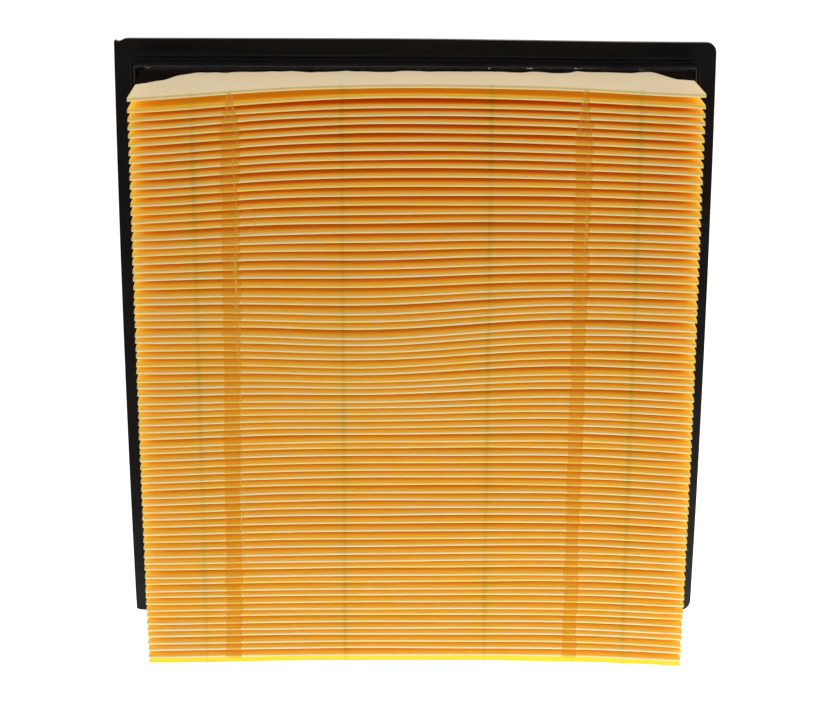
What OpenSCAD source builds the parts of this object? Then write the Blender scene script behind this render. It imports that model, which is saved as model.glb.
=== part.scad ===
// Panel air filter: a pleated paper pack cast into a moulded seal frame.
// Millimetres. The frame rests on z = 0 and +Z points out of the open pleat fronts.
// The paper starts as a folded flap at the +Y end of the pack and finishes as a
// single free edge at the -Y end.

/* [Frame] */
// Outer width of the frame, along X
frame_w = 252; // [236:0.5:300]
// Outer length of the frame, along Y
frame_l = 258.4; // [240:0.2:320]
// Distance from the frame's outer edge to the pack, at the pack's two ends
end_margin = 10.95; // [10.95:0.05:12.5]
// Distance from the frame's outer edge to the pack, along the pleat ends
side_margin = 14.75; // [13:0.25:20]
// Radius of the frame's four outer corners
corner_r = 4; // [2:0.5:6]
// Height of the flange's flat front face above the rest plane
flange_h = 4.8; // [4:0.1:6]
// Width of the flange's flat front face, from the outer edge to the ridge
land_w = 6.4; // [5:0.1:6.5]
// Height of the small ridge beside the flat face
ridge_h = 1; // [0.4:0.1:2]
// Width of that ridge
ridge_w = 2.2; // [1.5:0.1:2.3]
// Height of the thin collar that holds the pack, above the rest plane
collar_h = 16; // [12:0.5:20]
// Thickness of the collar at its top
collar_t = 1.4; // [1:0.1:1.6]
// Height of the sealing rib under the flange
rib_h = 1.4; // [0.8:0.1:2]
// Width of the sealing rib's flat crest
rib_w = 2; // [1.5:0.1:2.5]
// How far the rear lip reaches in under the pack
lip_w = 3.5; // [2:0.5:3.5]

/* [Pleat pack] */
// Height of the front folds above the rest plane
pack_top = 80.5; // [50:0.5:95]
// Height of the rear folds above the rest plane
pack_floor = 2.6; // [2.4:0.1:4]
// Number of front folds
folds = 74; // [60:1:76]
// Thickness of the paper
paper_t = 0.5; // [0.4:0.05:0.6]
// Outer radius of each fold
fold_r = 0.73; // [0.65:0.01:0.76]

/* [Hot-melt beads] */
// Width of the two beads across the front folds
front_bead_w = 6.5; // [4:0.5:9]
// Distance from the pack's middle to the left front bead
left_bead_x = 73.5; // [50:0.5:80]
// Distance from the pack's middle to the right front bead
right_bead_x = 63.5; // [50:0.5:80]
// How deep a front bead reaches into the gap between two folds
front_bead_depth = 6; // [3:0.5:12]
// Width of the four beads across the rear folds
rear_bead_w = 2.5; // [2:0.5:5]
// Spacing of the four rear beads
rear_bead_gap = 57.5; // [45:0.5:58]
// How deep a rear bead reaches up inside a front fold
rear_bead_depth = 40; // [3:1:42]
// Thickness of a bead over the crest of a fold
bead_cap = 0.35; // [0.2:0.05:0.6]
// Width of the glue that closes the ends of the pleats
end_glue_w = 3; // [1:0.5:5]
// How far that glue stays in from the paper's cut edge
end_glue_in = 0.5; // [0.1:0.1:1]

/* [Sealant between pack and frame] */
// Thickness of the sealant that climbs the pack's two ends
sealant_t = 0.6; // [0.4:0.1:0.7]
// Height of that sealant above the collar, in the middle of an end
sealant_low = 8; // [1:0.5:20]
// Height of that sealant above the collar, at the pack's corners
sealant_high = 32; // [20:0.5:40]
// Length over which the sealant climbs to a corner
sealant_run = 30; // [12:1:60]
// Leg of the sealant fillet along the pleat ends
fillet_leg = 1.6; // [1:0.1:2]

/* [Hidden] */

pack_w = frame_w - 2 * side_margin;         // width of the paper, from cut edge to cut edge
pack_l = frame_l - 2 * end_margin;          // length of the pack, from flap to free edge
side_ledge_h = collar_h - 1;                // the ledge between the collar and the pleat ends
edge_break = 0.7;                           // chamfer along the flange's outer edges
ridge_slope = 0.3;                          // lean of the ridge's flanks
collar_lean = 0.3;                          // lean of the collar's outer wall

arc_steps = 4;                              // facets round each half-turn fold
axis_r = fold_r - paper_t / 2;              // radius of a fold along the middle of the paper
inner_r = fold_r - paper_t;                 // radius of the hollow side of a fold
pitch = (pack_l - paper_t) / folds;
front_z = pack_top - fold_r;                // height of the front folds' centres
rear_z = pack_floor + fold_r;               // height of the rear folds' centres

black = "#1b1a1b";
paper_colour = "#e2a43c";
glue_colour = "#b8741c";

// Centre of front fold k along Y; its rear fold follows half a pitch later
function fold_y(k) = pack_l / 2 - paper_t / 2 - axis_r - k * pitch;
function rear_y(k) = fold_y(k) - pitch / 2;

// Points round a fold of radius r, from its +Y side to its -Y side: over it (side 1) or under it (side -1)
function fold_arc(y, z, r, side) =
    [for (i = [0 : arc_steps]) let (a = side * 180 * i / arc_steps) [y + r * cos(a), z + r * sin(a)]];

// One face of the paper, from the first fold to the last
function face(r_front, r_rear) = [for (k = [0 : folds - 1])
    each concat(fold_arc(fold_y(k), front_z, r_front, 1), fold_arc(rear_y(k), rear_z, r_rear, -1))];

// How far down the flat of a pleat height z lies: 0 at the front folds' centres, 1 at the rear ones
function down(z) = (front_z - z) / (front_z - rear_z);
function between(a, b, t) = a + (b - a) * t;

// The two walls of the gap behind front fold k, at height z
function gap_walls(k, z) = [
    [between(fold_y(k) - fold_r, rear_y(k) + inner_r, down(z)), z],
    [between(fold_y(k + 1) + fold_r, rear_y(k) - inner_r, down(z)), z]];

// The two walls inside front fold k, at height z
function fold_walls(k, z) = [
    [between(fold_y(k) + inner_r, rear_y(k - 1) - fold_r, down(z)), z],
    [between(fold_y(k) - inner_r, rear_y(k) + fold_r, down(z)), z]];

// Extrudes an outline of [y, z] points along X, centred on x
module along_x(x, length) {
    translate([x, 0, 0]) rotate([90, 0, 90]) linear_extrude(height = length, center = true) children();
}

// ---- Frame ----

// Section of the frame: the first number is the distance in from the outer edge, the second the height
module frame_section() {
    rib_mid = land_w / 2 + 1;
    ridge_in = land_w + ridge_w;
    collar_out = end_margin - collar_t;
    polygon([
        [0, rib_h + edge_break], [0, flange_h - edge_break], [edge_break, flange_h],
        [land_w, flange_h], [land_w + ridge_slope, flange_h + ridge_h],
        [ridge_in - ridge_slope, flange_h + ridge_h], [ridge_in, flange_h],
        [collar_out - collar_lean, flange_h], [collar_out, collar_h], [end_margin, collar_h],
        [end_margin, rib_h], [rib_mid + rib_w / 2 + 0.5, rib_h], [rib_mid + rib_w / 2, 0],
        [rib_mid - rib_w / 2, 0], [rib_mid - rib_w / 2 - 0.5, rib_h], [edge_break, rib_h]
    ]);
}

// One side of the frame, `length` long at its outer edge y = 0, with mitred ends
module rail(length) {
    intersection() {
        rotate([90, 0, 90]) mirror([1, 0, 0]) linear_extrude(height = length, center = true) frame_section();
        linear_extrude(height = collar_h) polygon([
            [-length / 2, 0], [length / 2, 0],
            [length / 2 - end_margin, -end_margin], [end_margin - length / 2, -end_margin]]);
    }
}

// A block with round upright corners
module round_block(w, l, h, r) {
    translate([r - w / 2, -l / 2, 0]) cube([w - 2 * r, l, h]);
    translate([-w / 2, r - l / 2, 0]) cube([w, l - 2 * r, h]);
    for (x = [r - w / 2, w / 2 - r], y = [r - l / 2, l / 2 - r])
        translate([x, y, 0]) cylinder(h = h, r = r, $fn = 48);
}

module seal_frame() {
    color(black) intersection() {
        union() {
            for (turn = [0, 180]) rotate(turn) {
                translate([0, frame_l / 2, 0]) rail(frame_w);
                rotate(-90) translate([0, frame_w / 2, 0]) rail(frame_l);
                // ledge between the collar and the pleat ends
                translate([pack_w / 2, -pack_l / 2, rib_h])
                    cube([side_margin - end_margin, pack_l, side_ledge_h - rib_h]);
            }
            // rear lip that the pack stands on
            translate([0, 0, rib_h]) linear_extrude(height = pack_floor - rib_h) difference() {
                square([frame_w - 2 * end_margin, frame_l - 2 * end_margin], center = true);
                square([pack_w - 2 * lip_w, pack_l - 2 * lip_w], center = true);
            }
        }
        round_block(frame_w, frame_l, collar_h, corner_r);
    }
}

// ---- Pleated paper ----

module pleated_paper() {
    flap_y = pack_l / 2;
    edge_y = fold_y(folds) + axis_r;
    outer = concat(
        [[flap_y, pack_floor]], face(fold_r, inner_r), [[edge_y + paper_t / 2, pack_top]]);
    inner = concat(
        [[flap_y - paper_t, pack_floor]], face(inner_r, fold_r), [[edge_y - paper_t / 2, pack_top]]);
    color(paper_colour) along_x(0, pack_w)
        polygon(concat(outer, [for (i = [len(inner) - 1 : -1 : 0]) inner[i]]));
}

// ---- Hot-melt beads ----

// A bead across the front folds: a thin cap over the crests, and a web down into each gap
module front_bead(x) {
    web_end = pack_top - front_bead_depth;
    underside = [for (k = [0 : folds - 1])
        each concat(fold_arc(fold_y(k), front_z, fold_r, 1), k < folds - 1 ? gap_walls(k, web_end) : [])];
    color(glue_colour) along_x(x, front_bead_w) polygon(concat(underside, [
        [fold_y(folds - 1) - fold_r, pack_top + bead_cap], [fold_y(0) + fold_r, pack_top + bead_cap]]));
}

// A bead across the rear folds, with a web up inside each front fold; it leaves out the first and
// the last rear fold, which stand on the frame's lip
module rear_bead(x) {
    last = folds - 2;
    web_end = pack_floor + rear_bead_depth;
    topside = [for (k = [1 : last])
        each concat(fold_arc(rear_y(k), rear_z, fold_r, -1), k < last ? fold_walls(k + 1, web_end) : [])];
    color(glue_colour) along_x(x, rear_bead_w) polygon(concat(topside, [
        [rear_y(last) - fold_r, pack_floor - bead_cap], [rear_y(1) + fold_r, pack_floor - bead_cap]]));
}

// The glue that closes the ends of the front folds, which are open to the rear
module pleat_end_glue(side) {
    x = side * (pack_w / 2 - end_glue_in - end_glue_w / 2);
    color(glue_colour) for (k = [1 : folds - 1]) along_x(x, end_glue_w) polygon(concat(
        fold_arc(fold_y(k), front_z, inner_r, 1), [fold_walls(k, rear_z)[1], fold_walls(k, rear_z)[0]]));
}

// ---- Sealant that bonds the pack into the frame ----

// Height of the sealant on a pack end at x, above the collar: it climbs smoothly to each corner
function sealant_height(x) =
    let (s = max(0, min(1, 1 - (pack_w / 2 - abs(x)) / sealant_run)))
    sealant_low + (sealant_high - sealant_low) * s * s * (3 - 2 * s);

module end_sealant(side) {
    steps = 10;
    climb = [for (i = [0 : steps]) pack_w / 2 - sealant_run * i / steps];
    crest = concat([for (x = climb) -x], [for (i = [steps : -1 : 0]) climb[i]]);
    outline = concat(
        [for (x = crest) [x, collar_h + sealant_height(x)]],
        [[pack_w / 2, collar_h], [-pack_w / 2, collar_h]]);
    y = side > 0 ? pack_l / 2 + sealant_t : -pack_l / 2;
    color(black) translate([0, y, 0]) rotate([90, 0, 0]) linear_extrude(height = sealant_t) polygon(outline);
}

module side_sealant(side) {
    color(black) mirror([side < 0 ? 1 : 0, 0, 0]) translate([pack_w / 2, 0, side_ledge_h]) rotate([90, 0, 0])
        linear_extrude(height = pack_l, center = true) polygon([[0, 0], [fillet_leg, 0], [0, fillet_leg]]);
}

seal_frame();
pleated_paper();
front_bead(-left_bead_x);  // front_bead_left
front_bead(right_bead_x);  // front_bead_right
for (i = [1 : 4])
    rear_bead((i - 2.5) * rear_bead_gap);
pleat_end_glue(-1);  // pleat_end_glue_left
pleat_end_glue(1);  // pleat_end_glue_right
end_sealant(1);  // sealant_top
end_sealant(-1);  // sealant_bottom
side_sealant(-1);  // sealant_left
side_sealant(1);  // sealant_right
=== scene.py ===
"""Looks of the panel air filter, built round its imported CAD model. Metres, in the CAD frame."""

import math

import bpy
import numpy as np
from mathutils import Matrix, Vector


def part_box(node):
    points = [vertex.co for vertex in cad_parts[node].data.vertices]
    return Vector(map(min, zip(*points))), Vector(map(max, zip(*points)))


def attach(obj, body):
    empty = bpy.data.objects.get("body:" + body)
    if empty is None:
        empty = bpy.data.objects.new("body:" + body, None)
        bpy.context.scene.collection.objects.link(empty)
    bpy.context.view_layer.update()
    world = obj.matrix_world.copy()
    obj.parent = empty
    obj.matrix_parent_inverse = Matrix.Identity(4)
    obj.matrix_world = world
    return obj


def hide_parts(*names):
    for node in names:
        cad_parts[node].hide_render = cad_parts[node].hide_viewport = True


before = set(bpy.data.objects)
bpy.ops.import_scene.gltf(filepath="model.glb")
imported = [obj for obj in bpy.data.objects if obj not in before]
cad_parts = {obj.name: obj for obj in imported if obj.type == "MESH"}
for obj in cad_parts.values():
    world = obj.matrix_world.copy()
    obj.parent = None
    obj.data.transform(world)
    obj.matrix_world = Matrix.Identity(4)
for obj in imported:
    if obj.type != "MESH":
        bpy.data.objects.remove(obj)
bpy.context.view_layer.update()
MM = 0.001

# ---- Sizes, from the frame ----

FRAME_HIGH = np.array(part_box("seal_frame")[1])
PACK_LOW, PACK_HIGH = (np.array(c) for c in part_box("pleated_paper"))
FRAME_W, FRAME_L, COLLAR_Z = FRAME_HIGH[0] * 2, FRAME_HIGH[1] * 2, FRAME_HIGH[2]
HALF_W, HALF_L, PACK_TOP = PACK_HIGH
PACK_FLOOR = PACK_LOW[2]
LEDGE_Z = COLLAR_Z - 1 * MM  # the step inside the collar, on which the side fillets lie
REAR_BEAD_GAP = 57.5 * MM  # from one rear bead to the next

FOLDS = 74
PAPER = 0.5 * MM
FOLD_R = 0.73 * MM  # outer radius of a fold
INNER_R = FOLD_R - PAPER
PITCH = (2 * HALF_L - PAPER) / FOLDS
FRONT_Z = PACK_TOP - FOLD_R
REAR_Z = PACK_FLOOR + FOLD_R
FRONT_STEPS, REAR_STEPS = 5, 4  # points round a front and a rear fold

rng = np.random.default_rng(7)


# ---- Mesh helpers ----


def new_object(name, vertices, faces, smooth=True):
    """A mesh object in the scene, from vertices and faces."""
    mesh = bpy.data.meshes.new(name)
    mesh.from_pydata(np.asarray(vertices, dtype=float).tolist(), [], faces)
    mesh.validate()
    obj = bpy.data.objects.new(name, mesh)
    bpy.context.scene.collection.objects.link(obj)
    mesh.polygons.foreach_set("use_smooth", [smooth] * len(mesh.polygons))
    mesh.update()
    return obj


def grid_faces(rows, columns, start=0, flip=False, close=False):
    """Quads of a grid of points stored row by row; close joins the last column to the first."""
    span = columns if close else columns - 1
    r, c = (a.ravel() for a in np.meshgrid(np.arange(rows - 1), np.arange(span), indexing="ij"))
    n = (c + 1) % columns
    near, far = r * columns, (r + 1) * columns
    quads = np.column_stack([near + c, near + n, far + n, far + c])
    if flip:
        quads = quads[:, ::-1]
    return (quads + start).tolist()


def end_caps(rings, count, flip=False):
    """The two faces that close a tube of rings of points, count to a ring."""
    first, last = list(range(count)), list(range((rings - 1) * count, rings * count))
    return [first, last[::-1]] if flip else [first[::-1], last]


def attribute(obj, name, values):
    """Stores one number a vertex, for the materials to read."""
    layer = obj.data.attributes.new(name, "FLOAT", "POINT")
    layer.data.foreach_set("value", np.asarray(values, dtype=np.float32).ravel())


def wander(length, knots, amount):
    """A smooth random curve sampled at `length` places, from `knots` random values."""
    values = rng.uniform(-amount, amount, knots)
    places = np.linspace(0, knots - 1, length)
    low = np.minimum(places.astype(int), knots - 2)
    t = smoothstep(places - low)
    return values[low] * (1 - t) + values[low + 1] * t


def smoothstep(t):
    t = np.clip(t, 0, 1)
    return t * t * (3 - 2 * t)


# ---- Where the paper lies ----

# Broad pushes that folding and handling left in the front folds. Each is: middle across and along
# the pack (-1 to 1 and 0 to 1), reach across and along, and how far it moves the folds, in mm.
PUSHES = [
    (0.0, 0.04, 0.95, 0.14, 4.3),
    (-0.2, 0.39, 0.5, 0.14, -5.2),
    (-1.05, 0.36, 0.46, 0.55, -4.2),
    (1.2, 0.72, 0.44, 0.6, -3.8),
    (-0.3, 0.8, 1.0, 0.09, -1.8),
    (0.0, 0.965, 2.0, 0.035, 1.0),
]


def drift(x, y):
    """How far the front edge of a fold near (x, y) has moved along Y."""
    across, along = x / HALF_W, (HALF_L - y) / (2 * HALF_L)
    total = 0.0
    for mid_x, mid_y, reach_x, reach_y, amount in PUSHES:
        off_x, off_y = (across - mid_x) / reach_x, (along - mid_y) / reach_y
        total = total + amount * np.exp(-(off_x**2) - off_y**2)
    return total * MM


def spread(y, z):
    """How far the pleat ends at (y, z) stand out past the narrowest there could be, at -X and +X."""
    middle = 1 - (y / HALF_L) ** 2
    lean = smoothstep((HALF_L * 0.7 - y) / HALF_L)
    high, low = share(z), 1.1 * (1 - share(z))
    left, right = 0.45 + 0.4 * middle, 0.45 + 0.45 * middle + 0.3 * lean
    return (low + left * high) * MM, (low + right * high) * MM


# columns of points across the pack, closer together at the pleat ends
END_STEPS = np.array([0, 0.9, 2.4, 4.6, 8]) * MM
INNER_X = np.linspace(-HALF_W + 13 * MM, HALF_W - 13 * MM, 32)
X = np.concatenate([-HALF_W + END_STEPS, INNER_X, HALF_W - END_STEPS[::-1]])
COLUMNS = len(X)
FRONT_Y = HALF_L - FOLD_R - PITCH * np.arange(FOLDS + 1)
REAR_Y = FRONT_Y - PITCH / 2
LEVELS = np.array([58, 37, 16]) * MM  # heights at which a pleat's wall may bend
FLAP_LEVELS = np.array([PACK_FLOOR / MM, 9, 16, 21, 27, 34, 42, 50, 58, 66, 73]) * MM
FOLD_POINTS = FRONT_STEPS + REAR_STEPS + 2 * len(LEVELS)  # points from one front fold to the next
ARCH = np.cos(X / HALF_W * 1.5)  # how far the flap bows out, across the pack


def fold_places():
    """For each fold and column: how far the front fold moved, its centre's height, the rear Y."""
    moved, height, rear = [], [], []
    # the flap stands away from the rest, and a little so do the next fold's middle and the free edge
    apart = {0: 1.15 + 0.3 * ARCH, 1: 0.6 * np.exp(-((X / (60 * MM)) ** 2)), FOLDS: 0.6}
    for k in range(FOLDS + 1):
        jitter = rng.normal(0, 0.2 * MM) if 0 < k < FOLDS - 2 else 0
        moved.append(drift(X, FRONT_Y[k]) + jitter + wander(COLUMNS, 8, 0.16 * MM))
        moved[-1] += apart.get(k, 0) * MM
        height.append(FRONT_Z - abs(rng.normal(0, 0.15 * MM)) - abs(wander(COLUMNS, 6, 0.15 * MM)))
        rear.append(REAR_Y[k] + rng.normal(0, 0.06 * MM) + wander(COLUMNS, 5, 0.05 * MM))
    return np.array(moved), np.array(height), np.array(rear)


MOVED, HEIGHT, REAR = fold_places()


def share(z):
    """How much of a front fold's movement reaches height z: none in the frame, all at the front."""
    return np.clip((z - COLLAR_Z) / (FRONT_Z - COLLAR_Z), 0, 1) ** 1.3


def wall_points(k, rear_k, side, front_r, rear_r, bulge):
    """Y and Z of the wall between front fold k and rear fold rear_k, from the front down.

    side is -1 for the wall on the fold's -Y side and 1 for the one on its +Y side.
    """
    t = (LEVELS - REAR_Z) / (FRONT_Z - REAR_Z)
    at_front = FRONT_Y[k] + side * front_r
    at_rear = REAR[rear_k] - side * rear_r
    y = at_rear[None] + (at_front - at_rear)[None] * t[:, None]
    y = y + MOVED[k][None] * share(LEVELS)[:, None]
    y = y + bulge * np.sin(np.pi * t)[:, None]
    return y, np.repeat(LEVELS[:, None], COLUMNS, axis=1)


def arc_points(y, z, r, steps, side):
    """Y and Z round half a fold from its +Y side: over it (side 1) or under it (side -1)."""
    a = np.linspace(0, math.pi, steps)[:, None]
    return y[None] + r * np.cos(a), z[None] + side * r * np.sin(a)


MAX_SPREAD = 1.2 * MM  # the most that spread gives
WALL_BULGE = rng.normal(0, 0.13 * MM, (FOLDS + 1, 2))


def flap_bow(z):
    """How far the flap bows out at height z, at the middle of the pack."""
    return 0.5 * MM * np.sin(np.pi * np.clip((z - COLLAR_Z) / (FRONT_Z - COLLAR_Z), 0, 1))


def paper_face(front_r, rear_r):
    """One face of the folded paper, from the flap to the free edge: Y and Z of points by columns."""
    ys, zs = [], []

    def add(pair, flip=False):
        ys.append(pair[0][::-1] if flip else pair[0])
        zs.append(pair[1][::-1] if flip else pair[1])

    flap_y = FRONT_Y[0] + front_r + MOVED[0][None] * share(FLAP_LEVELS)[:, None]
    flap_y = flap_y + flap_bow(FLAP_LEVELS)[:, None] * ARCH[None]
    add((flap_y, np.repeat(FLAP_LEVELS[:, None], COLUMNS, axis=1)))
    for k in range(FOLDS):
        add(arc_points(FRONT_Y[k] + MOVED[k], HEIGHT[k], front_r, FRONT_STEPS, 1))
        add(wall_points(k, k, -1, front_r, rear_r, WALL_BULGE[k, 0]))
        add(arc_points(REAR[k], np.full(COLUMNS, REAR_Z), rear_r, REAR_STEPS, -1))
        add(wall_points(k + 1, k, 1, front_r, rear_r, WALL_BULGE[k + 1, 1]), flip=True)
    edge_y = FRONT_Y[FOLDS] + front_r + MOVED[FOLDS]
    add((edge_y[None], (HEIGHT[FOLDS] + FOLD_R)[None]))
    return np.concatenate(ys), np.concatenate(zs)


def build_paper():
    """The folded sheet, as one closed mesh with the paper's thickness."""
    front_y, front_z = paper_face(FOLD_R, INNER_R)
    rear_y, rear_z = paper_face(INNER_R, FOLD_R)
    points, flap_points = len(front_y), len(FLAP_LEVELS)
    fold_of = np.clip((np.arange(points) - flap_points) // FOLD_POINTS, 0, FOLDS - 1)
    trim = np.abs(rng.normal(0, 0.07 * MM, (FOLDS, 2)))
    near_end = np.clip((np.abs(X) - HALF_W + 5 * MM) / (5 * MM), 0, 1)

    def xs(y, z):
        cut = np.where(X[None] < 0, trim[fold_of, 0][:, None], trim[fold_of, 1][:, None])
        left, right = spread(y, z)
        out = np.where(X[None] < 0, left, right) - MAX_SPREAD
        return X[None] + np.sign(X)[None] * (out - cut) * near_end[None]

    loop_x = np.concatenate([xs(front_y, front_z), xs(rear_y, rear_z)[::-1]])
    loop_y = np.concatenate([front_y, rear_y[::-1]])
    loop_z = np.concatenate([front_z, rear_z[::-1]])
    vertices = np.stack([loop_x, loop_y, loop_z], axis=-1).transpose(1, 0, 2).reshape(-1, 3)
    loop = 2 * points
    faces = grid_faces(COLUMNS, loop, close=True)
    i = np.arange(points - 1)
    for column, flip in ((0, False), (COLUMNS - 1, True)):
        strip = np.column_stack([i, loop - 1 - i, loop - 2 - i, i + 1]) + column * loop
        faces += (strip[:, ::-1] if flip else strip).tolist()
    obj = new_object("pleated_paper_sheet", vertices, faces)

    # what the material reads: depth below the nearer side in mm, the outer faces, where light comes
    # through from outside (glow), and the first gap, which is lit through the flap (lit)
    depth = np.concatenate([(PACK_TOP - front_z), (rear_z - PACK_FLOOR)[::-1]]) / MM
    first_crest = flap_points + FRONT_STEPS // 2
    next_fold = flap_points + FOLD_POINTS
    depth[: first_crest + 1] = 0
    outer = np.zeros((loop, COLUMNS))
    outer[:flap_points] = 1
    outer[points : points + 5] = 1
    glow = np.zeros((loop, COLUMNS))
    glow[points - 4 : points + 4] = 1
    lit = np.zeros((loop, COLUMNS))
    lit[next_fold - len(LEVELS) : next_fold] = 1
    lit[next_fold] = 0.8
    for name, values in (("depth", depth), ("outer", outer), ("glow", glow), ("lit", lit)):
        attribute(obj, name, values.T)
    return obj


# ---- Frame ----


def rounded_loop(half_x, half_y, radii, per_side, per_corner):
    """X and Y round a rectangle with its own radius at each corner, anticlockwise from +X +Y."""
    corners = [(1, 1, 0), (-1, 1, 90), (-1, -1, 180), (1, -1, 270)]
    xs, ys = [], []
    for n, (sx, sy, start) in enumerate(corners):
        r = radii[n]
        a = np.radians(start + np.linspace(0, 90, per_corner))
        xs.append(sx * (half_x - r) + r * np.cos(a))
        ys.append(sy * (half_y - r) + r * np.sin(a))
        nx, ny, _ = corners[(n + 1) % 4]
        nr = radii[(n + 1) % 4]
        b = math.radians(start + 90)
        end_x = nx * (half_x - nr) + nr * math.cos(b)
        end_y = ny * (half_y - nr) + nr * math.sin(b)
        t = np.linspace(0, 1, per_side + 2)[1:-1]
        t = 0.2 * t + 0.8 * (0.5 - 0.5 * np.cos(np.pi * t))  # closer together near the corners
        xs.append(xs[-1][-1] + (end_x - xs[-1][-1]) * t)
        ys.append(ys[-1][-1] + (end_y - ys[-1][-1]) * t)
    return np.concatenate(xs), np.concatenate(ys)


# The frame's section from the outer edge over the front and back underneath. Each point is: distance
# in from the edge at the sides, the same at the ends, height, and how uneven the casting is there,
# all in millimetres.
FRAME_SECTION = [
    # the outer edge and its bevel
    (0.0, 0.0, 2.1, 0.0), (0.0, 0.0, 3.3, 0.0), (0.0, 0.0, 4.3, 0.02),
    (0.03, 0.03, 4.6, 0.02), (0.1, 0.1, 4.72, 0.02), (0.25, 0.25, 4.79, 0.02),
    (0.6, 0.6, 4.8, 0.03),
    # the flat sealing band
    (2.8, 2.8, 4.8, 0.05), (4.9, 4.9, 4.76, 0.05), (6.25, 6.25, 4.8, 0.03),
    # the ridge, first step
    (6.4, 6.4, 4.85, 0.03), (6.5, 6.5, 5.15, 0.05), (6.75, 6.75, 5.5, 0.05),
    (7.0, 7.0, 5.6, 0.05), (7.6, 7.6, 5.5, 0.05), (8.1, 8.1, 5.42, 0.05),
    # the ridge, second step
    (8.25, 8.25, 5.44, 0.04), (8.55, 8.55, 5.76, 0.04), (8.7, 8.7, 5.8, 0.04),
    (8.85, 8.85, 5.72, 0.04), (8.95, 8.95, 5.68, 0.04), (9.1, 9.1, 5.68, 0.04),
    # the collar and its rounded rim
    (9.25, 9.25, 5.85, 0.05), (9.37, 9.37, 9.0, 0.1), (9.48, 9.48, 13.0, 0.14),
    (9.55, 9.55, 15.1, 0.15), (9.7, 9.7, 15.6, 0.15), (9.95, 9.95, 15.85, 0.15),
    (10.4, 10.4, 15.97, 0.15), (10.8, 10.8, 15.8, 0.2), (10.9, 10.9, 15.3, 0.1),
    (11.2, 10.94, 15.02, 0.1),
    # the ledge inside the collar, and down to the lip
    (12.9, 10.95, 15.0, 0.12), (14.75, 10.96, 15.0, 0.1), (14.8, 11.0, 9.0, 0.0),
    (14.8, 11.0, 2.62, 0.0),
    # the lip under the pleat ends
    (15.75, 12.0, 2.6, 0.02), (17.95, 14.2, 2.6, 0.02), (18.25, 14.45, 2.4, 0.02),
    (18.25, 14.45, 1.6, 0.02), (17.95, 14.2, 1.4, 0.02),
    # the underside
    (12.0, 11.0, 1.4, 0.03), (6.0, 6.0, 1.4, 0.03),
    # the sealing rib
    (5.7, 5.7, 1.25, 0.03), (5.3, 5.3, 0.2, 0.02), (5.05, 5.05, 0.0, 0.0),
    (3.35, 3.35, 0.0, 0.0), (3.1, 3.1, 0.2, 0.02), (2.75, 2.75, 1.25, 0.03),
    (2.45, 2.45, 1.4, 0.03),
    # the underside, out to the edge
    (0.8, 0.8, 1.4, 0.03), (0.35, 0.35, 1.55, 0.03), (0.1, 0.1, 1.8, 0.03),
]
CORNER_R = np.array([4.0, 0.9, 1.2, 4.8]) * MM  # +X +Y, -X +Y, -X -Y, +X -Y
SIDE_BOW = 0.9 * MM
END_RUN_BACK = 1.2 * MM


def build_frame():
    """The moulded frame: its section swept round, uneven as a casting is."""
    per_side, per_corner = 60, 7
    rows = []
    count = 4 * (per_side + per_corner)
    # long waves, in and down; the third is drawn only to keep the later draws in their places
    wave_in, wave_down, _ = (wander(count, 50, 1.0) for _ in range(3))
    for in_x, in_y, z, uneven in FRAME_SECTION:
        radii = np.maximum(CORNER_R - min(in_x, in_y) * MM, 0.25 * MM)
        half_x, half_y = FRAME_W / 2 - in_x * MM, FRAME_L / 2 - in_y * MM
        x, y = rounded_loop(half_x, half_y, radii, per_side, per_corner)
        wave = (wave_in * 0.7 + wander(count, 90, 0.6)) * uneven * MM
        lift = (wave_down * 0.7 + wander(count, 120, 0.5)) * uneven * MM
        x = x * (1 - np.abs(wave) / (FRAME_W / 2))
        y = y * (1 - np.abs(wave) / (FRAME_L / 2))
        # the long sides bow out a little, and the +Y side runs back towards its +X end
        bow = SIDE_BOW * (y / (FRAME_L / 2)) ** 2 * (np.abs(x) > 90 * MM)
        x = x - np.sign(x) * bow * (1 - smoothstep((in_x - 8) / 5))
        back = END_RUN_BACK * smoothstep((x + 20 * MM) / (140 * MM)) * (y > 90 * MM)
        y = y - back * (1 - 0.6 * smoothstep((in_y - 6) / 4))
        if in_y < 1:
            # the -X +Y corner dips and ends in a small ear; the -X -Y corner runs back a little
            dip = 1.2 * smoothstep((-x / MM - 120) / 3.2) - 0.7 * smoothstep((-x / MM - 123.6) / 1.2)
            y = y - dip * MM * (y > 120 * MM)
            y = y + 0.4 * MM * np.clip((-x / MM - 121) / 4, 0, 1) * (y < -120 * MM)
        rows.append(np.column_stack([x, y, z * MM - np.abs(lift)]))
    vertices = np.concatenate(rows + [rows[0]])
    loops = len(rows)
    faces = grid_faces(loops, count, close=True)
    last = grid_faces(2, count, start=(loops - 1) * count, close=True)
    faces += [[v if v < loops * count else v - loops * count for v in face] for face in last]
    return new_object("seal_frame_moulding", vertices[: loops * count], faces)


# ---- Sealant ----


def flap_at(z):
    """Y of the flap's outer face at height z, for every column."""
    return FRONT_Y[0] + FOLD_R + MOVED[0] * share(z) + flap_bow(z) * ARCH


def last_leaf_at(z):
    """Y of the last leaf's outer face at height z, for every column."""
    t = (z - REAR_Z) / (FRONT_Z - REAR_Z)
    at_front, at_rear = FRONT_Y[FOLDS] + INNER_R, REAR[FOLDS - 1] - FOLD_R
    return at_rear + (at_front - at_rear) * t + MOVED[FOLDS] * share(z)


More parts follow.
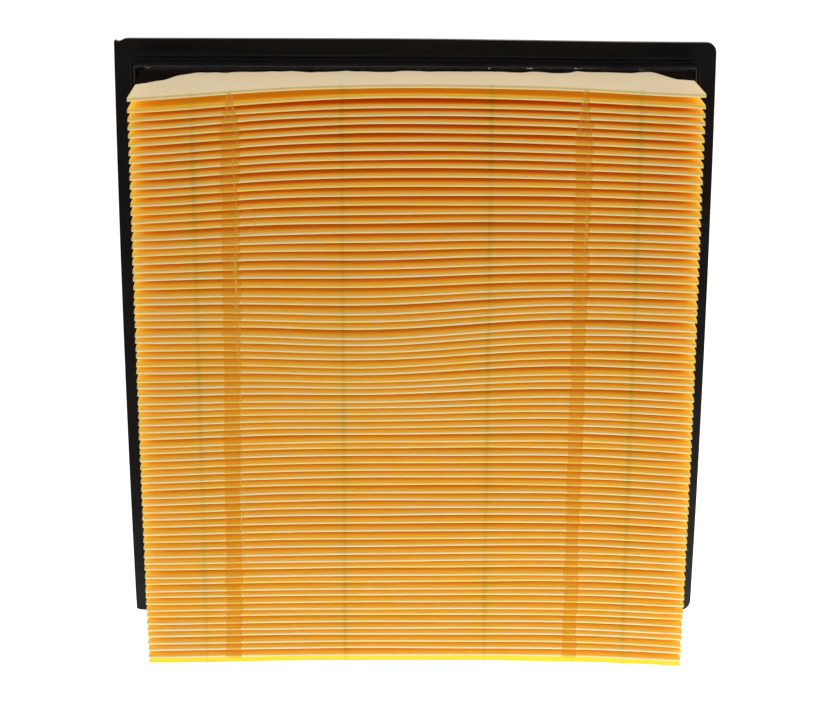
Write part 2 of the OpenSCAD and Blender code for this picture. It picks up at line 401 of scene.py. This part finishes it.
def build_end_sealant(name, side, surface, climbs):
    """The skin of sealant that climbs a pack end above the collar, and each face's material.

    climbs has, for the -X and the +X corner, where the climb starts and ends (in from the corner)
    and how high it gets, in millimetres.
    """
    count = 420
    x = np.linspace(-HALF_W, HALF_W, count)
    inward = (HALF_W - np.abs(x)) / MM
    rise = np.zeros(count)
    for sign, (start, stop, top) in zip((-1, 1), climbs):
        here = sign * x > 0
        slope = smoothstep((start - inward) / (start - stop)) * (top - 4)
        slope = slope + 4 * np.clip(1 - inward / stop, 0, 1)
        rise = np.where(here, slope, rise)
    crest = COLLAR_Z + (7.5 + rise) * MM + wander(count, 26, 3.2 * MM) + wander(count, 60, 1.7 * MM)
    low = COLLAR_Z - 0.3 * MM
    room = np.minimum((crest - low) / (6.4 * MM), 1)
    # heights and thicknesses in mm beside the rim, then shares of the climb and thicknesses above it
    foot = [(0, 0.85), (0.35, 0.84), (0.8, 0.82), (1.4, 0.78), (2.2, 0.74), (3.4, 0.7), (4.8, 0.66)]
    skirt = [(0.2, 0.62), (0.5, 0.6), (0.8, 0.5), (0.95, 0.35), (1.0, 0.05)]
    knee = low + foot[-1][0] * MM * room
    levels = [(low + z * MM * room, t) for z, t in foot]
    levels += [(knee + (crest - knee) * s, t) for s, t in skirt]
    rows = []
    for z, t in levels:
        y = np.array([np.interp(px, X, surface(pz)) for px, pz in zip(x, z)])
        lump = 1 + wander(count, 70, 0.22) + wander(count, 190, 0.16)
        rows.append(np.column_stack([x, y + side * t * lump * MM, z]))
    for s in (1.0, 0.5, 0.0):
        z = low + (crest - low) * s
        y = np.array([np.interp(px, X, surface(pz)) for px, pz in zip(x, z)])
        rows.append(np.column_stack([x, y - side * 0.12 * MM, z]))
    rows.append(rows[0])
    obj = skin(name, rows, flip=side > 0)
    # the lowest rows, beside the collar's rim, are wet and glossy; the rest has dulled
    round_section = len(rows) - 1
    index = np.ones(len(obj.data.polygons), dtype=int)
    dull = np.arange(round_section) >= len(foot) - 1
    index[: (count - 1) * round_section] = np.tile(dull, count - 1)
    return obj, index


def skin(name, rows, flip=False):
    """A closed bar from rows of points round its section; the last row repeats the first."""
    rows = rows[:-1]
    columns, count = len(rows[0]), len(rows)
    vertices = np.stack(rows, axis=1).reshape(-1, 3)
    faces = grid_faces(columns, count, flip=flip, close=True) + end_caps(columns, count, flip)
    return new_object(name, vertices, faces)


def build_side_sealant(name, side):
    """The fillet between the pleat ends and the collar; at the corners it fills the trough."""
    count = 260
    y = np.linspace(-HALF_L, HALF_L, count)
    corner = smoothstep(1 - (HALF_L - np.abs(y)) / (7 * MM))
    uneven = wander(count, 40, 0.5) + wander(count, 110, 0.25)
    foot = (1.5 + 2.4 * corner + uneven * (1 - corner)) * MM
    climb = (1.7 + 11 * corner**2 + wander(count, 60, 0.7) + wander(count, 110, 0.4)) * MM
    rows = []
    for a, b in ((1.0, 0.0), (0.8, 0.06), (0.45, 0.22), (0.2, 0.5), (0.06, 0.8), (0.0, 1.0)):
        x = HALF_W + foot * a + 0.04 * MM
        rows.append(np.column_stack([side * x, y, LEDGE_Z + climb * b]))
    for a, b in ((-0.2, 0.9), (-0.2, -0.25), (1.0, -0.25)):
        x = HALF_W + (a * 1.5 * MM if a < 0 else foot)
        rows.append(np.column_stack([side * x * np.ones_like(y), y, LEDGE_Z + climb * b]))
    rows.append(rows[0])
    return skin(name, rows, flip=side < 0)


# ---- Hot melt ----


PARTS = ("rise", "crest", "fall", "gap")  # the cross sections of a bead at each fold
PART_ANGLE = {"rise": 25, "crest": 90, "fall": 155}  # degrees round the fold, from its +Y side


def tube(points, radius, sides=5):
    """Vertices and quads of a thread through points, tapered to nothing at both ends."""
    points = np.asarray(points)
    n = len(points)
    tangent = np.gradient(points, axis=0)
    tangent /= np.linalg.norm(tangent, axis=1)[:, None]
    up = np.array([0.0, 0.0, 1.0])
    right = np.cross(tangent, up)
    right /= np.maximum(np.linalg.norm(right, axis=1), 1e-6)[:, None]
    over = np.cross(right, tangent)
    fat = radius * np.clip(np.minimum(np.arange(n), np.arange(n)[::-1]) / 2 + 0.25, 0, 1)
    a = np.linspace(0, 2 * np.pi, sides, endpoint=False)
    ring = right[:, None] * np.cos(a)[None, :, None] + over[:, None] * np.sin(a)[None, :, None]
    vertices = (points[:, None] + ring * fat[:, None, None]).reshape(-1, 3)
    return vertices, grid_faces(n, sides, close=True) + end_caps(n, sides)


def build_front_bead(x_top, x_bottom, width_top, width_bottom, lead):
    """A run of glue across the front folds: a skin over each crest that sags into each gap.

    The bead goes from x_top at the flap's end to x_bottom at the other, and starts as a thin thread
    that reaches full width after `lead`.
    """
    across = np.linspace(-1, 1, 11)
    rows, depth = [], []
    front_y = FRONT_Y[:, None] + MOVED
    for k in range(FOLDS):
        # over the crest, then down into the gap behind it
        for part in PARTS:
            if k == 0 and part == "rise" or k == FOLDS - 1 and part == "gap":
                continue
            rows.append((k, part))
    wobble = wander(len(rows), 30, 0.22 * MM) + wander(len(rows), 90, 0.08 * MM)
    swell = 1 + wander(len(rows), 40, 0.06) + wander(len(rows), 120, 0.03)
    left = wander(len(rows), 90, 0.1)
    right = wander(len(rows), 140, 0.22)
    tops, bottoms = [], []
    for n, (k, part) in enumerate(rows):
        along = (HALF_L - FRONT_Y[k]) / (2 * HALF_L)
        middle = x_top + (x_bottom - x_top) * along + wobble[n]
        width = (width_top + (width_bottom - width_top) * along) * swell[n]
        width *= 0.25 + 0.75 * smoothstep((HALF_L - FRONT_Y[k]) / lead)
        edges = np.where(across < 0, left[n], right[n]) * np.abs(across) ** 3
        x = middle + width / 2 * across * (1 + edges)
        y0 = np.interp(x, X, front_y[k])
        z0 = np.interp(x, X, HEIGHT[k])
        dome = np.sqrt(np.clip(1 - across**2, 0.0, 1)) * 0.8 + 0.05
        streak = 1 + 0.25 * np.sin(across * 9 + 0.05 * n) + 0.12 * np.sin(across * 17 + 1 + 0.11 * n)
        cap = 0.33 * MM * dome * streak
        cap = np.minimum(cap, PACK_TOP + 0.35 * MM - z0 - FOLD_R)
        if part == "gap":
            y1 = np.interp(x, X, front_y[k + 1])
            z1 = np.interp(x, X, HEIGHT[k + 1])
            sag = (1.5 + 1.6 * (1 - dome) + rng.uniform(-0.3, 0.4)) * MM
            top = np.column_stack([x, (y0 + y1) / 2, (z0 + z1) / 2 + FOLD_R - sag])
            bottom = top - np.array([0, 0, 2.4 * MM])
            depth.append(1)
        else:
            a = math.radians(PART_ANGLE[part])
            reach = FOLD_R + cap * (1 if part == "crest" else 0.8)
            ca, sa = math.cos(a), math.sin(a)
            top = np.column_stack([x, y0 + reach * ca, z0 + reach * sa])
            reach = FOLD_R - 0.2 * MM
            bottom = np.column_stack([x, y0 + reach * ca, z0 + reach * sa])
            depth.append(0 if part == "crest" else 0.45)
        tops.append(top)
        bottoms.append(bottom[::-1])
    loops = np.concatenate([np.stack(tops), np.stack(bottoms)], axis=1)
    count = loops.shape[1]
    faces = grid_faces(len(loops), count, close=True) + end_caps(len(loops), count)
    return loops.reshape(-1, 3), faces, np.repeat(depth, count)


def with_threads(name, vertices, faces, depth, threads):
    """The bead's object, with its loose threads in the same mesh."""
    vertices, faces, depth, strand = [vertices], list(faces), [depth], [np.zeros(len(depth))]
    start = len(vertices[0])
    for points, radius in threads:
        v, f = tube(points, radius)
        faces += [[i + start for i in face] for face in f]
        vertices.append(v)
        depth.append(np.full(len(v), 0.7))
        strand.append(np.ones(len(v)))
        start += len(v)
    obj = new_object(name, np.concatenate(vertices), faces)
    attribute(obj, "depth", np.concatenate(depth))
    attribute(obj, "strand", np.concatenate(strand))
    return obj


def draped_thread(x_from, k_from, x_to, k_to):
    """A thread of glue drawn over the folds from one place to another."""
    steps = max(2 * (k_to - k_from), 2)
    xs = np.linspace(x_from, x_to, steps + 1) + rng.uniform(-0.12, 0.12, steps + 1) * MM
    points = []
    for step, x in enumerate(xs):
        k = min(k_from + step // 2, FOLDS - 1)
        y, z = np.interp(x, X, FRONT_Y[k] + MOVED[k]), np.interp(x, X, HEIGHT[k]) + FOLD_R
        if step % 2:
            points.append((x, y - PITCH / 2, z - rng.uniform(0.15, 0.5) * MM))
        else:
            points.append((x, y, z + 0.06 * MM))
    return points, rng.uniform(0.11, 0.19) * MM


def edge_threads(x, y_from, y_to, count, reach):
    """Short threads of glue pulled out along the folds beside a bead."""
    threads = []
    for _ in range(count):
        k = int(round((FRONT_Y[0] - rng.uniform(y_to, y_from)) / PITCH))
        start = x + rng.uniform(-0.3, 1.0) * reach
        stop = start + rng.uniform(-0.4, 0.4) * MM
        threads.append(draped_thread(start, k, stop, k + int(rng.integers(2, 6))))
    return threads


def lead_threads(runs):
    """Threads that fan out from a bead's start. Each run is: X at the flap, X at its end, folds."""
    return [draped_thread(x_from * MM, 0, x_to * MM, folds) for x_from, x_to, folds in runs]


def curled_hair():
    """One hair-fine thread that lies in a loop on the folds beside the left bead."""
    knots = np.array([
        (-70.2, 74.0), (-67.6, 74.8), (-65.0, 74.2), (-62.6, 72.4),
        (-61.9, 70.2), (-63.4, 67.2), (-66.0, 65.8), (-69.0, 65.2),
    ]) * MM
    t, fine = np.arange(len(knots)), np.linspace(0, len(knots) - 1, 40)
    x, y = np.interp(fine, t, knots[:, 0]), np.interp(fine, t, knots[:, 1])
    return np.column_stack([x, y, np.full_like(x, PACK_TOP + 0.12 * MM)]), 0.09 * MM


def build_rear_bead(name, x_mid):
    """A bead of glue over the rear folds, with its webs up inside the front folds."""
    across = np.linspace(-1, 1, 9)
    sections, last = [], FOLDS - 2
    swell = 1 + wander(4 * FOLDS, 90, 0.18)
    for k in range(1, last + 1):
        for n, part in enumerate(PARTS):
            if k == last and part == "gap":
                continue
            x = x_mid + 1.25 * MM * swell[len(PARTS) * k + n] * across
            y0 = np.interp(x, X, REAR[k])
            dome = np.sqrt(np.clip(1 - across**2, 0, 1)) * 0.9 + 0.05
            if part == "gap":
                y = (y0 + np.interp(x, X, REAR[k + 1])) / 2
                z = PACK_FLOOR + (1.4 - 0.7 * dome) * MM
                low = np.column_stack([x, y, np.full_like(x, z)])
                high = low + np.array([0, 0, 12 * MM])
            else:
                a = math.radians(PART_ANGLE[part])
                reach = FOLD_R + 0.33 * MM * dome
                low = np.column_stack([x, y0 + reach * math.cos(a), REAR_Z - reach * math.sin(a)])
                reach = np.full_like(x, FOLD_R - 0.2 * MM)
                high = np.column_stack([x, y0 + reach * math.cos(a), REAR_Z - reach * math.sin(a)])
            sections.append(np.concatenate([low, high[::-1]]))
    loops = np.stack(sections)
    count = loops.shape[1]
    faces = grid_faces(len(loops), count, flip=True, close=True) + end_caps(len(loops), count, True)
    obj = new_object(name, loops.reshape(-1, 3), faces)
    attribute(obj, "depth", np.full(loops.shape[0] * count, 0.3))
    return obj


def build_end_glue(name, side):
    """The glue that closes the ends of the pleats, one plug inside each front fold."""
    vertices, faces = [], []
    column = COLUMNS - 1 if side > 0 else 0
    heights = np.array([REAR_Z / MM, 16, 37, 58, 72]) * MM
    for k in range(1, FOLDS):
        dy, top = MOVED[k][column], HEIGHT[k][column]
        outline = []
        for a in np.linspace(0, np.pi, 5):
            outline.append((FRONT_Y[k] + dy + INNER_R * math.cos(a), top + INNER_R * math.sin(a)))
        down, up = [], []
        left, right = REAR[k][column] + FOLD_R, REAR[k - 1][column] - FOLD_R
        for z in heights[::-1]:
            t = (z - REAR_Z) / (FRONT_Z - REAR_Z)
            lean, bulge = dy * share(z), WALL_BULGE[k] * math.sin(math.pi * t)
            down.append((left + (FRONT_Y[k] - INNER_R - left) * t + lean + bulge[0], z))
            up.append((right + (FRONT_Y[k] + INNER_R - right) * t + lean + bulge[1], z))
        outline += down + up[::-1]
        proud = rng.uniform(0.0, 0.35) * MM
        outside, inside = HALF_W - 1.5 * MM + proud, HALF_W - 4.2 * MM
        start, count = len(vertices), len(outline)
        for x in (outside, inside):
            vertices += [(side * x, y, z) for y, z in outline]
        for i in range(count):
            n = (i + 1) % count
            quad = [start + i, start + n, start + count + n, start + count + i]
            faces.append(quad if side < 0 else quad[::-1])
        # each end of the plug is cut into cells: the fold's tip, then quads between its two walls
        cells = [[1, 2, 3], [0, 1, 3, 4], [0, 4, 5, count - 1]]
        cells += [[count - 1 - i, 5 + i, 6 + i, count - 2 - i] for i in range(len(heights) - 1)]
        for base, flip in ((start, side < 0), (start + count, side > 0)):
            for cell in cells:
                cell = [c + base for c in cell]
                faces.append(cell[::-1] if flip else cell)
    obj = new_object(name, vertices, faces, smooth=False)
    attribute(obj, "depth", np.full(len(vertices), 0.3))
    return obj


# ---- Materials ----


def set_stops(node, stops):
    """Gives a colour ramp its stops: places and colours."""
    elements = node.color_ramp.elements
    while len(elements) < len(stops):
        elements.new(0.5)
    for element, (place, colour) in zip(elements, stops):
        element.position = place
        element.color = (*colour, 1)


class Nodes:
    """A short way to write a node tree: each method adds a node and returns its output."""

    def __init__(self, name):
        self.material = bpy.data.materials.new(name)
        self.material.use_nodes = True
        self.tree = self.material.node_tree
        self.shader = self.tree.nodes["Principled BSDF"]
        self.output = self.tree.nodes["Material Output"]

    def add(self, kind, inputs=(), **settings):
        node = self.tree.nodes.new(kind)
        for key, value in settings.items():
            setattr(node, key, value)
        for key, value in dict(inputs).items():
            self.feed(node.inputs[key], value)
        return node

    def feed(self, socket, value):
        if isinstance(value, bpy.types.NodeSocket):
            self.tree.links.new(value, socket)
        else:
            socket.default_value = value

    def set(self, **values):
        for key, value in values.items():
            self.feed(self.shader.inputs[key.replace("_", " ")], value)

    def value(self, name):
        return self.add("ShaderNodeAttribute", attribute_name=name).outputs["Fac"]

    def math(self, operation, a, b=0.0, c=0.0, clamp=False):
        node = self.add("ShaderNodeMath", {0: a, 1: b, 2: c}, operation=operation, use_clamp=clamp)
        return node.outputs[0]

    def noise(self, scale, detail=3.0, rough=0.5, stretch=None):
        place = self.add("ShaderNodeTexCoord").outputs["Object"]
        if stretch:
            place = self.add("ShaderNodeMapping", {"Vector": place, "Scale": stretch}).outputs[0]
        inputs = {"Vector": place, "Scale": scale, "Detail": detail, "Roughness": rough}
        return self.add("ShaderNodeTexNoise", inputs).outputs["Fac"]

    def ramp(self, factor, stops):
        node = self.add("ShaderNodeValToRGB", {"Fac": factor})
        set_stops(node, stops)
        return node.outputs["Color"]

    def mix(self, factor, a, b, blend="MIX"):
        node = self.add("ShaderNodeMix", data_type="RGBA", blend_type=blend)
        for socket, value in zip((node.inputs[0], node.inputs[6], node.inputs[7]), (factor, a, b)):
            if isinstance(value, tuple):
                value = (*value, 1)
            self.feed(socket, value)
        return node.outputs[2]

    def bump(self, height, distance, strength=1.0, normal=None):
        inputs = {"Height": height, "Distance": distance, "Strength": strength}
        if normal:
            inputs["Normal"] = normal
        return self.add("ShaderNodeBump", inputs).outputs["Normal"]


def linear(r, g, b):
    """A colour given in the usual 0 to 255 steps, as the shaders take it."""
    shares = (r / 255, g / 255, b / 255)
    return tuple(c / 12.92 if c <= 0.04045 else ((c + 0.055) / 1.055) ** 2.4 for c in shares)


DEPTH_RANGE = 12.0  # how many millimetres of depth the paper's ramps cover


def paper_material():
    """Resin-treated paper: pale at the crests, amber in the gaps, lit through from behind; the gaps'
    deeper amber is partly painted shade.
    """
    n = Nodes("filter_paper")
    place = n.add("ShaderNodeTexCoord").outputs["Object"]
    x = n.add("ShaderNodeSeparateXYZ", {"Vector": place}).outputs["X"]
    inward = n.math("SUBTRACT", HALF_W, n.math("ABSOLUTE", x))
    side_depth = n.math("MULTIPLY_ADD", inward, 0.9 / MM, 0.6)  # the pleat ends are pale too
    depth = n.math("MINIMUM", n.value("depth"), side_depth)
    soft = n.noise(90, 2, 0.6)
    depth = n.math("ADD", depth, n.math("MULTIPLY", n.math("SUBTRACT", soft, 0.5), 0.8))
    # partly the resin's own tint, partly painted shade: the colour darkens to a deep orange with
    # depth into the gaps, and stays pale at the crests and pleat ends, where light reaches
    tone = n.ramp(
        n.math("DIVIDE", depth, DEPTH_RANGE, clamp=True),
        [
            (0.0, (0.94, 0.9, 0.53)),
            (0.02, (0.95, 0.88, 0.41)),
            (0.045, (0.96, 0.8, 0.2)),
            (0.12, (0.97, 0.77, 0.13)),
            (0.4, (0.98, 0.66, 0.08)),
            (1.0, (0.98, 0.59, 0.05)),
        ],
    )
    outer = n.value("outer")
    tone = n.mix(outer, tone, (0.86, 0.82, 0.57))
    # painted light: where light comes through from outside, the colour turns a deeper yellow
    tone = n.mix(n.math("MULTIPLY", n.value("glow"), 0.7), tone, (1.0, 0.8, 0.15))
    fibre = n.noise(900, 4, 0.7, stretch=(0.5, 1.0, 1.0))
    blotch = n.noise(60, 3, 0.6)
    shade = n.ramp(fibre, [(0.3, (0.95, 0.93, 0.9)), (0.7, (1.0, 1.0, 1.0))])
    tone = n.mix(0.6, tone, shade, "MULTIPLY")
    tone = n.mix(n.math("MULTIPLY", blotch, 0.12), tone, (0.9, 0.7, 0.35))
    # painted shade: the four rear beads, behind the paper, show through as faint greenish lines
    place = n.math("PINGPONG", n.math("ABSOLUTE", x), REAR_BEAD_GAP)
    place = n.math("ABSOLUTE", n.math("SUBTRACT", place, REAR_BEAD_GAP / 2))
    bead_shade_line = n.math("SUBTRACT", 1.0, n.math("DIVIDE", place, 1.3 * MM), clamp=True)
    uneven = n.noise(40, 2, 0.5)
    bead_shade_strength = n.math("MULTIPLY", n.math("SUBTRACT", 1.0, outer), n.math("MULTIPLY", uneven, 0.3))
    tone = n.mix(n.math("MULTIPLY", bead_shade_line, bead_shade_strength), tone, linear(150, 150, 70))
    # light that the real sheet scatters on into the gaps, beyond what the render follows
    scattered = n.ramp(
        n.math("DIVIDE", depth, DEPTH_RANGE, clamp=True),
        [
            (0.01, (0, 0, 0)),
            (0.035, (0.06, 0.03, 0.002)),
            (0.08, (0.09, 0.055, 0.003)),
            (0.16, (0.1, 0.1, 0.003)),
            (0.28, (0.075, 0.088, 0.002)),
            (0.5, (0.032, 0.031, 0.001)),
            (1.0, (0.02, 0.014, 0)),
        ],
    )
    scattered = n.mix(n.value("glow"), scattered, (0.12, 0.12, 0.003))
    scattered = n.mix(n.value("lit"), scattered, (0.06, 0.12, 0.004), "ADD")
    n.set(Base_Color=tone, Roughness=0.85, Emission_Color=scattered, Emission_Strength=1.0)
    n.shader.inputs["Specular IOR Level"].default_value = 0.15
    bumps = n.bump(fibre, 0.06 * MM, 0.5)
    n.set(Normal=bumps)
    through = n.add("ShaderNodeBsdfTranslucent", {"Color": tone, "Normal": bumps})
    share_through = n.math("MULTIPLY_ADD", n.value("glow"), 0.55, 0.3)
    shaders = {0: share_through, 1: n.shader.outputs[0], 2: through.outputs[0]}
    blend = n.add("ShaderNodeMixShader", shaders)
    n.tree.links.new(blend.outputs[0], n.output.inputs["Surface"])
    return n.material


def rubber_material(name, colour, rough, grain, shine, patchy=False):
    """Black moulded or poured rubber; where it is patchy, parts of it are still wet."""
    n = Nodes(name)
    fine = n.noise(1400, 3, 0.6)
    broad = n.noise(55, 4, 0.6)
    dark, light = (tuple(c * level for c in colour) for level in (0.8, 1.35))
    tone = n.ramp(broad, [(0.3, dark), (0.7, light)])
    n.set(Base_Color=tone, Roughness=n.math("MULTIPLY_ADD", broad, 0.3, rough))
    if patchy:
        patches = n.noise(210, 2, 0.5)
        n.set(Coat_Weight=n.ramp(patches, [(0.5, (0, 0, 0)), (0.55, (1, 1, 1))]))
        n.shader.inputs["Coat Roughness"].default_value = 0.05
        n.shader.inputs["Coat IOR"].default_value = 2.3
    n.shader.inputs["Specular IOR Level"].default_value = shine
    n.set(Normal=n.bump(broad, 0.4 * MM, 0.35, n.bump(fine, grain, 0.5)))
    return n.material


def glue_material():
    """Clear amber glue: streaks of solid colour in a coat that tints what lies below."""
    n = Nodes("hot_melt_amber")
    fine = n.noise(700, 3, 0.6, stretch=(1.6, 0.4, 1.0))
    broad = n.noise(120, 3, 0.6)
    depth = n.math("ADD", n.value("depth"), n.math("MULTIPLY", n.math("SUBTRACT", broad, 0.5), 0.5))
    stops = [(0.0, (0.98, 0.72, 0.2)), (0.45, (0.98, 0.66, 0.14)), (1.0, (0.98, 0.58, 0.08))]
    tone = n.ramp(depth, stops)
    strand = n.value("strand")
    tone = n.mix(strand, tone, (0.85, 0.55, 0.12))
    n.set(Base_Color=tone, Roughness=0.35)
    n.shader.inputs["Specular IOR Level"].default_value = 0.05
    bumps = n.bump(fine, 0.15 * MM, 0.6)
    n.set(Normal=bumps)
    stops = [(0.0, (0.87, 0.64, 0.2)), (0.4, (0.93, 0.76, 0.36)), (0.85, (1.0, 0.96, 0.8))]
    tint = n.ramp(depth, stops)
    clear = n.add("ShaderNodeBsdfTransparent", {"Color": n.mix(strand, tint, (0.97, 0.88, 0.6))})
    dense = n.math("MULTIPLY_ADD", fine, 0.28, 0.03)
    dense = n.math("MULTIPLY", dense, n.math("SUBTRACT", 1.0, n.math("MULTIPLY", depth, 0.75)))
    dense = n.math("MULTIPLY_ADD", strand, 0.25, dense)
    blend = n.add("ShaderNodeMixShader", {0: dense, 1: clear.outputs[0], 2: n.shader.outputs[0]})
    n.tree.links.new(blend.outputs[0], n.output.inputs["Surface"])
    return n.material


def floor_material():
    """Matte white with a little light of its own, so that it stays white in the picture."""
    n = Nodes("studio_floor")
    grain = n.noise(30, 2, 0.5)
    tone = n.ramp(grain, [(0.0, (0.93, 0.93, 0.93)), (1.0, (0.95, 0.95, 0.95))])
    n.set(Base_Color=tone, Roughness=0.9)
    n.shader.inputs["Specular IOR Level"].default_value = 0.0
    n.shader.inputs["Emission Color"].default_value = (1, 1, 1, 1)
    n.shader.inputs["Emission Strength"].default_value = 0.85
    return n.material


# ---- Pieces ----

PAPER_LOOK = paper_material()
FRAME_LOOK = rubber_material("seal_polyurethane", (0.0062, 0.005, 0.0046), 0.22, 0.03 * MM, 0.16)
SEALANT_LOOK = rubber_material("black_sealant", (0.008, 0.0055, 0.004), 0.6, 0.03 * MM, 0.0)
RIM_LOOK = rubber_material("wet_black_sealant", (0.007, 0.005, 0.004), 0.6, 0.01 * MM, 0.05, True)
GLUE_LOOK = glue_material()


def piece(obj, node, slot, *materials):
    """Gives a piece its materials, hangs it on the root body and hides its CAD part; obj is an
    object, or an object and each face's material index.
    """
    if isinstance(obj, tuple):
        obj, index = obj
        obj.data.polygons.foreach_set("material_index", index)
    for material in materials:
        obj.data.materials.append(material)
    if slot == "hot_melt_glue":  # clear and thin: it tints the paper below, and throws no shadow
        obj.visible_shadow = obj.visible_diffuse = obj.visible_transmission = False
    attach(obj, "root")
    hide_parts(node)


piece(build_paper(), "pleated_paper", "filter_paper", PAPER_LOOK)
piece(build_frame(), "seal_frame", "seal_polyurethane", FRAME_LOOK)
skin_top = build_end_sealant("sealant_skin_top", 1, flap_at, ((26, 3, 27), (15, 5, 22)))
piece(skin_top, "sealant_top", "black_sealant", RIM_LOOK, SEALANT_LOOK)
skin_bottom = build_end_sealant("sealant_skin_bottom", -1, last_leaf_at, ((24, 12, 26), (27, 12, 24)))
piece(skin_bottom, "sealant_bottom", "black_sealant", RIM_LOOK, SEALANT_LOOK)
piece(build_side_sealant("sealant_fillet_left", -1), "sealant_left", "black_sealant", SEALANT_LOOK)
piece(build_side_sealant("sealant_fillet_right", 1), "sealant_right", "black_sealant", SEALANT_LOOK)
left = build_front_bead(-71.4 * MM, -74.8 * MM, 7.3 * MM, 6.4 * MM, 12 * MM)
threads = edge_threads(-70.6 * MM, 100 * MM, -60 * MM, 44, 1.3 * MM) + [curled_hair()]
runs = [(-72.2, -74.0, 4), (-71.8, -72.9, 3), (-71.2, -71.3, 3), (-70.8, -69.4, 5), (-70.4, -68.3, 6)]
threads += lead_threads(runs)
bead = with_threads("hot_melt_bead_front_left", *left, threads)
piece(bead, "front_bead_left", "hot_melt_glue", GLUE_LOOK)
right = build_front_bead(64.8 * MM, 63.9 * MM, 6.6 * MM, 5.4 * MM, 17 * MM)
threads = edge_threads(65.8 * MM, 100 * MM, 40 * MM, 14, 1.0 * MM)
threads += lead_threads([(63.7, 61.0, 6), (63.9, 62.6, 5), (64.1, 65.2, 5), (64.0, 67.6, 6)])
bead = with_threads("hot_melt_bead_front_right", *right, threads)
piece(bead, "front_bead_right", "hot_melt_glue", GLUE_LOOK)
for n in range(4):
    bead = build_rear_bead(f"hot_melt_bead_rear_{n + 1}", (n - 1.5) * REAR_BEAD_GAP)
    piece(bead, f"rear_bead_{n + 1}", "hot_melt_glue", GLUE_LOOK)
piece(build_end_glue("pleat_end_plugs_left", -1), "pleat_end_glue_left", "hot_melt_glue", GLUE_LOOK)
piece(build_end_glue("pleat_end_plugs_right", 1), "pleat_end_glue_right", "hot_melt_glue", GLUE_LOOK)


# ---- Floor, light and camera ----


def build_floor():
    """A plain white floor, just under the part."""
    side = np.linspace(-4, 4, 5)
    vertices = [(x, y, -0.1 * MM) for y in side for x in side]
    floor = new_object("floor", vertices, grid_faces(5, 5), smooth=False)
    floor.data.materials.append(floor_material())


def softbox(name, place, aim, size, power):
    """A rectangular light that the camera doesn't see."""
    light = bpy.data.lights.new(name, "AREA")
    light.shape, light.size, light.size_y, light.energy = "RECTANGLE", size[0], size[1], power
    obj = bpy.data.objects.new(name, light)
    obj.location = place
    obj.rotation_mode = "QUATERNION"
    obj.visible_camera = False
    obj.rotation_quaternion = (Vector(aim) - Vector(place)).to_track_quat("-Z", "Y")
    bpy.context.scene.collection.objects.link(obj)


def build_world():
    """A light tent: bright round the horizon, dimmer overhead where the camera looks in."""
    world = bpy.data.worlds.new("studio")
    world.use_nodes = True
    tree = world.node_tree
    direction = tree.nodes.new("ShaderNodeTexCoord").outputs["Generated"]
    split = tree.nodes.new("ShaderNodeSeparateXYZ")
    ramp = tree.nodes.new("ShaderNodeValToRGB")
    levels = ((0.0, 1.1), (0.4, 0.78), (0.7, 0.62), (0.93, 0.47), (1.0, 0.43))
    set_stops(ramp, [(place, (level,) * 3) for place, level in levels])
    tree.links.new(direction, split.inputs[0])
    tree.links.new(split.outputs["Z"], ramp.inputs[0])
    background = tree.nodes["Background"]
    tree.links.new(ramp.outputs[0], background.inputs["Color"])
    background.inputs["Strength"].default_value = 0.72
    bpy.context.scene.world = world


def build_camera():
    """The camera, tilted from straight above the pack's front towards the flap's end."""
    unit = 0.25  # metres in a unit of the place below
    tilt, roll, turn = math.radians(17.53), math.radians(0.28), math.radians(-0.09)
    angles = ((turn, "Z"), (roll, "Y"), (tilt, "X"))
    about_z, about_y, about_x = (Matrix.Rotation(angle, 3, axis) for angle, axis in angles)
    away = about_z @ about_y @ about_x
    location = away.transposed() @ Vector((-0.006, -0.035, 3.572)) * unit + Vector((0, 0, 4.1 * MM))
    data = bpy.data.cameras.new("camera")
    data.sensor_fit, data.sensor_width, data.lens = "HORIZONTAL", 36, 90.17
    camera = bpy.data.objects.new("camera", data)
    camera.matrix_world = Matrix.Translation(location) @ away.transposed().to_4x4()
    bpy.context.scene.collection.objects.link(camera)
    bpy.context.scene.camera = camera


build_floor()
build_world()
softbox("key", (0.05, -0.36, 0.28), (0, -0.12, 0.08), (0.75, 0.2), 2.0)
build_camera()
bpy.context.scene.view_settings.view_transform = "Standard"
bpy.context.scene.cycles.diffuse_bounces = 32
bpy.context.scene.cycles.max_bounces = 40
bpy.context.scene.cycles.transmission_bounces = 32
